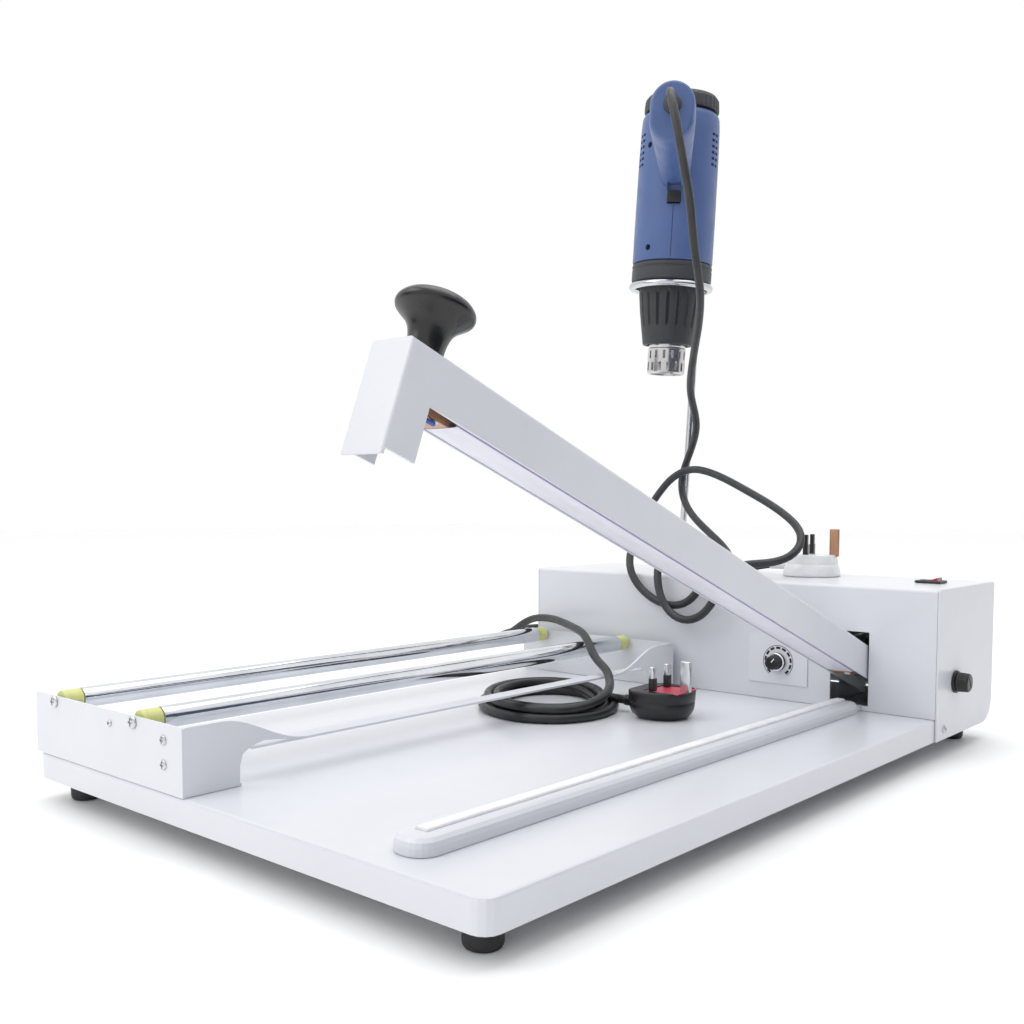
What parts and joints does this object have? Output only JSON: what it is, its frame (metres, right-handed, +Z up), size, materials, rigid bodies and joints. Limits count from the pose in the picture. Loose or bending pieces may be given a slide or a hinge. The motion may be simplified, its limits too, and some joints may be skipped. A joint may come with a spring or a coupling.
{
  "type": "impulse sealer",
  "caption": "Bench impulse sealer with swing-down sealing arm, film rollers, timer dial and a hot-air gun resting in a rod stand.",
  "frame": {"origin": "centre of the bounding box on the bench, leaving out the free cords, their plugs and gland", "axes": "+Z up, +Y from the open end of the arm towards the housing, +X towards the side with the fuse"},
  "size_m": [0.4653, 0.6423, 0.5872],
  "materials": {
    "white_steel": "gloss powder coat",
    "zinc_steel": "zinc plated",
    "chrome_steel": "polished chrome",
    "nozzle_steel": "satin",
    "ribbon_steel": "bright",
    "copper_alloy": "bright",
    "seal_aluminium": "anodised",
    "lamination": "varnished",
    "winding": "varnished",
    "foot_rubber": "matt",
    "cord_rubber": "satin",
    "silicone": "matt",
    "black_plastic": "fine grain",
    "guard_plastic": "ribbed",
    "blue_plastic": "fine grain",
    "bush_plastic": "smooth",
    "red_plastic": "gloss",
    "white_plastic": "gloss",
    "dial_film": "printed film",
    "board": "solder resist"
  },
  "bodies": {
    "frame": {"base_plate": "white_steel", "housing_cover": "white_steel", "back_plate": "white_steel", "side_panel_right": "white_steel", "side_panel_left": "white_steel", "seal_rail": "white_steel", "roller_bracket_front": "white_steel", "roller_bracket_rear": "white_steel", "base_closing_plate": "zinc_steel", "hinge_bracket": "zinc_steel", "pivot_shaft": "zinc_steel", "return_spring": "zinc_steel", "roller_axle_left": "zinc_steel", "roller_axle_right": "zinc_steel", "stand_clamp_upper": "zinc_steel", "stand_clamp_lower": "zinc_steel", "timer_potentiometer": "zinc_steel", "foot_front_left": "foot_rubber", "foot_front_right": "foot_rubber", "foot_rear_left": "foot_rubber", "foot_rear_right": "foot_rubber", "transformer_core": "lamination", "transformer_coil": "winding", "timer_board": "board", "terminal_block": "white_plastic", "plug_white": "white_plastic", "dial_plate": "dial_film", "switch_bezel": "black_plastic", "fuse_holder": "black_plastic", "microswitch": "black_plastic", "mains_gland": "black_plastic", "plug_black": "black_plastic", "silicone_strip": "silicone", "stand_rod": "chrome_steel", "gun_cord": "cord_rubber", "mains_cord": "cord_rubber", "mains_coil": "cord_rubber"},
    "arm": {"arm_channel": "white_steel", "seal_bar": "seal_aluminium", "heating_ribbon": "ribbon_steel", "ribbon_clamp_front": "copper_alloy", "ribbon_clamp_rear": "copper_alloy", "arm_knob": "black_plastic"},
    "switch_plunger": {"microswitch_plunger": "red_plastic"},
    "left_roller": {"film_roller_left": "chrome_steel", "roller_bush_left_front": "bush_plastic", "roller_bush_left_rear": "bush_plastic"},
    "right_roller": {"film_roller_right": "chrome_steel", "roller_bush_right_front": "bush_plastic", "roller_bush_right_rear": "bush_plastic"},
    "knob": {"timer_knob": "black_plastic"},
    "rocker": {"power_rocker": "red_plastic"},
    "fuse": {"fuse_cap": "black_plastic"},
    "gun": {"gun_body": "blue_plastic", "gun_rear_cap": "black_plastic", "gun_collar": "black_plastic", "gun_guard": "guard_plastic", "gun_nozzle": "nozzle_steel", "gun_cord_boot": "black_plastic"},
    "gun_slide_switch": {"gun_switch": "black_plastic"}
  },
  "joints": [
    {"name": "arm_hinge", "type": "hinge", "parent": "frame", "child": "arm", "pos_m": [0.12585, 0.2284, 0.0561], "axis": [1, 0, 0], "range_deg": [0, 20.6], "stiffness_Nm_per_rad": 4, "springref_deg": -63.03},
    {"name": "microswitch_travel", "type": "slide", "parent": "frame", "child": "switch_plunger", "axis": [0, 0, 1], "range_m": [0, 0.00125]},
    {"name": "left_roller_spin", "type": "hinge", "parent": "frame", "child": "left_roller", "pos_m": [-0.18075, -0.0666, 0.0675], "axis": [0, 1, 0], "continuous": true},
    {"name": "right_roller_spin", "type": "hinge", "parent": "frame", "child": "right_roller", "pos_m": [-0.08475, -0.0666, 0.0675], "axis": [0, 1, 0], "continuous": true},
    {"name": "timer_knob_turn", "type": "hinge", "parent": "frame", "child": "knob", "pos_m": [0.06425, 0.1848, 0.0636], "axis": [0, 1, 0], "range_deg": [0, 270]},
    {"name": "power_rocker_tip", "type": "hinge", "parent": "frame", "child": "rocker", "pos_m": [0.16225, 0.2579, 0.1309], "axis": [0, 1, 0], "range_deg": [0, 24]},
    {"name": "fuse_cap_turn", "type": "hinge", "parent": "frame", "child": "fuse", "pos_m": [0.19525, 0.2244, 0.057], "axis": [1, 0, 0], "range_deg": [0, 90]},
    {"name": "gun_lift", "type": "slide", "parent": "frame", "child": "gun", "axis": [0.061, 0, 0.9981], "range_m": [0, 0.09]},
    {"name": "gun_switch_slide", "type": "slide", "parent": "gun", "child": "gun_slide_switch", "axis": [0.061, 0, 0.9981], "range_m": [0, 0.006]}
  ],
  "couplings": [
    {"joint": "microswitch_travel", "follows": "arm_hinge", "m_per_rad": 0.00333}
  ]
}
